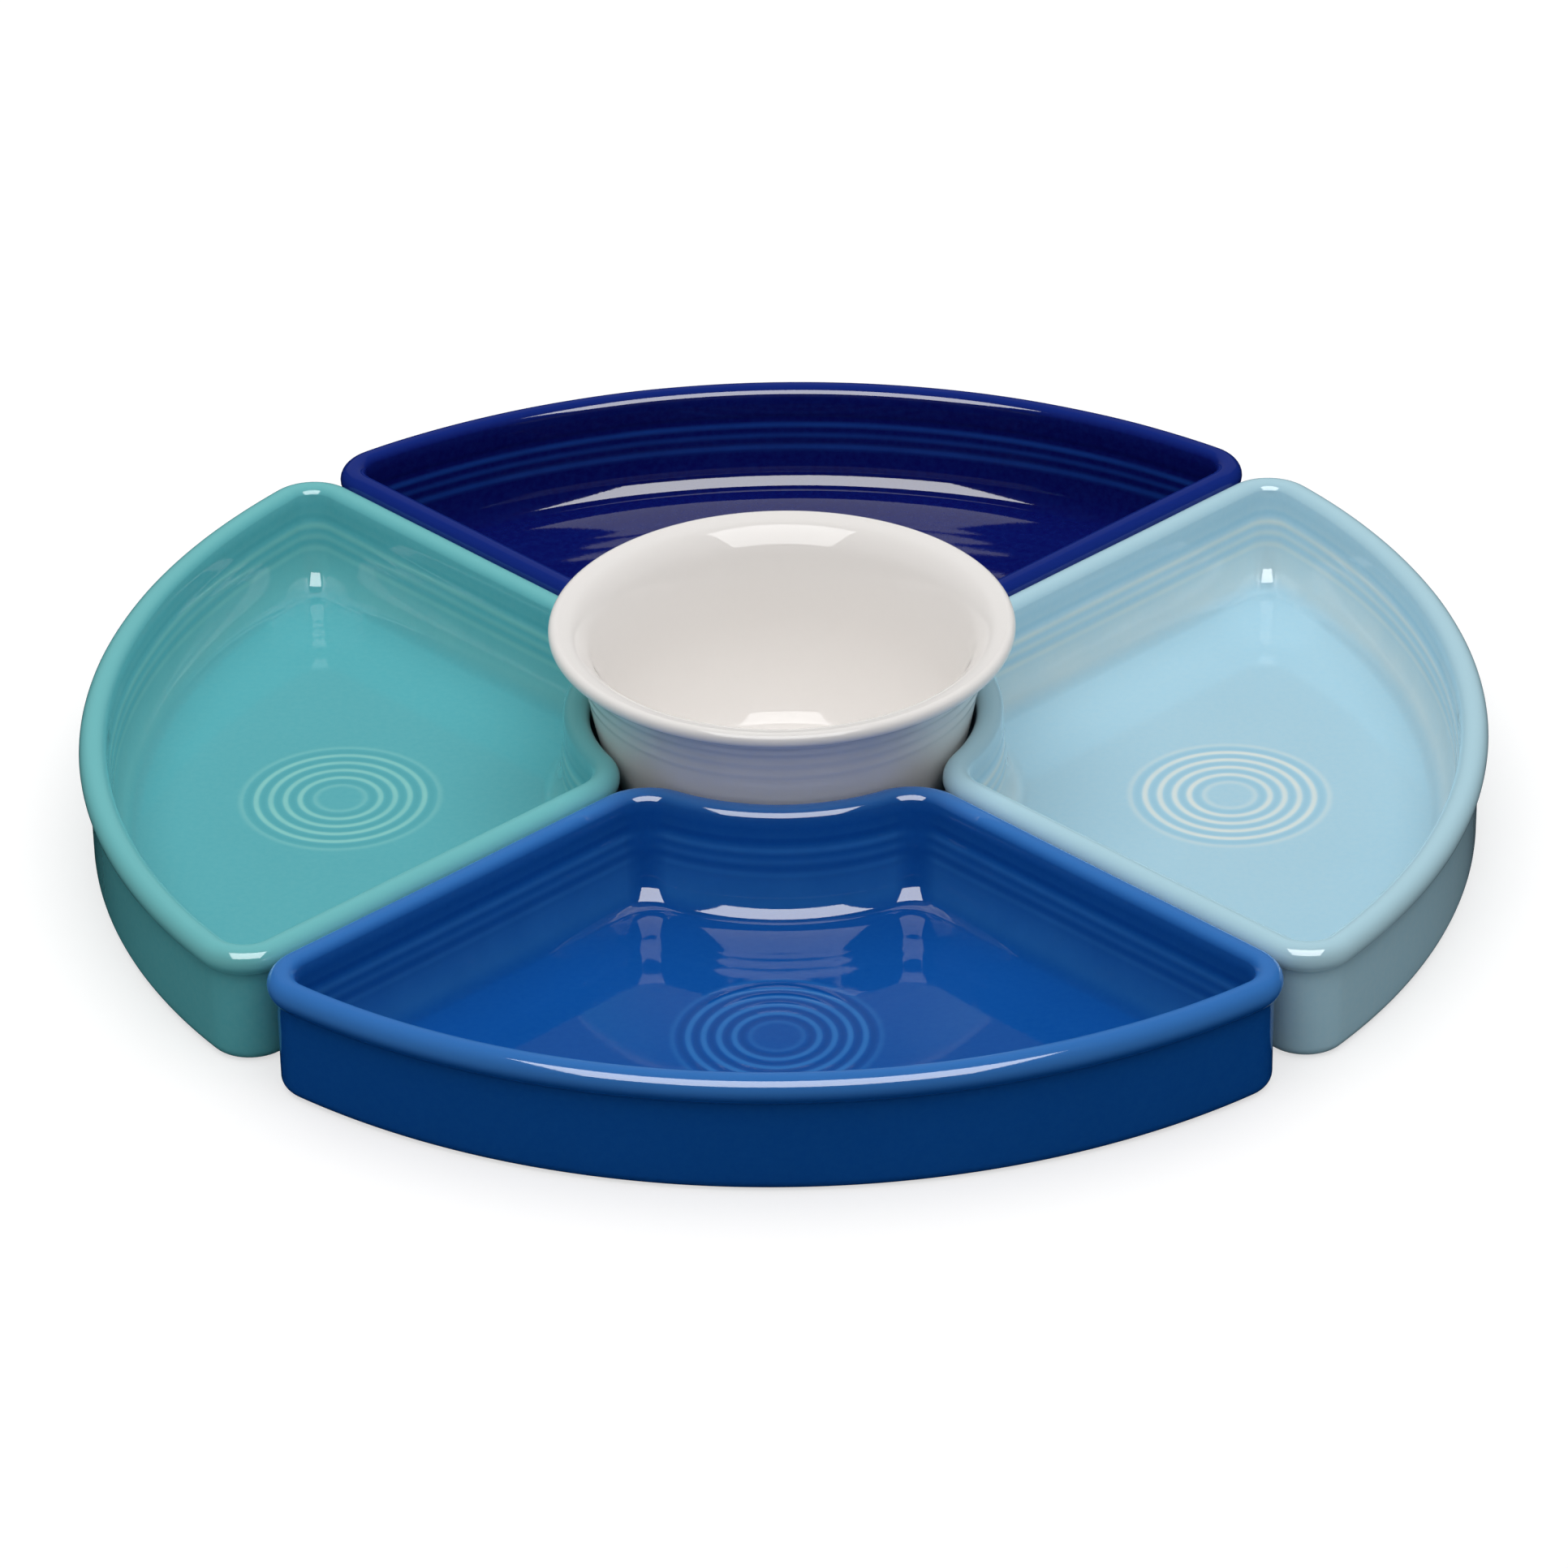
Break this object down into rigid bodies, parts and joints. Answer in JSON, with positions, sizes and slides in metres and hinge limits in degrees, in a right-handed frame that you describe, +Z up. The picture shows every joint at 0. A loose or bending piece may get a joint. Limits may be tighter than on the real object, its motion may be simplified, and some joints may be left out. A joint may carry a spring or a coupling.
{
  "type": "chip and dip server",
  "caption": "Chip and dip server: quarter-ring serving trays with rolled rims standing in a circle round a flared dip bowl, all glazed ceramic.",
  "frame": {"origin": "centre of the set on the table, under the middle of the dip bowl", "axes": "+Z up; the front tray points towards -Y, the right tray towards +X, the back tray towards +Y and the left tray towards -X"},
  "size_m": [0.48, 0.48, 0.0748],
  "materials": {
    "mid_blue_glaze": "gloss glaze, a little lighter where it thins over the rim and the ridges",
    "sky_blue_glaze": "gloss glaze that breaks to cream over the ridges and the floor rings",
    "cobalt_glaze": "gloss glaze, very dark, lighter blue where it thins over the ridges",
    "turquoise_glaze": "gloss glaze, a little lighter over the rim and the floor rings",
    "white_glaze": "gloss warm white glaze"
  },
  "bodies": {
    "back_tray": {"back_tray": "cobalt_glaze"},
    "front_tray": {"front_tray": "mid_blue_glaze"},
    "right_tray": {"right_tray": "sky_blue_glaze"},
    "left_tray": {"left_tray": "turquoise_glaze"},
    "dip_bowl": {"dip_bowl": "white_glaze"}
  },
  "joints": [
    {"name": "front_tray_slide", "type": "slide", "parent": "back_tray", "child": "front_tray", "axis": [0, -1, 0], "range_m": [0, 0.12]},
    {"name": "right_tray_slide", "type": "slide", "parent": "back_tray", "child": "right_tray", "axis": [1, 0, 0], "range_m": [0, 0.12]},
    {"name": "left_tray_slide", "type": "slide", "parent": "back_tray", "child": "left_tray", "axis": [-1, 0, 0], "range_m": [0, 0.12]},
    {"name": "dip_bowl_lift", "type": "slide", "parent": "back_tray", "child": "dip_bowl", "axis": [0, 0, 1], "range_m": [0, 0.12]}
  ]
}
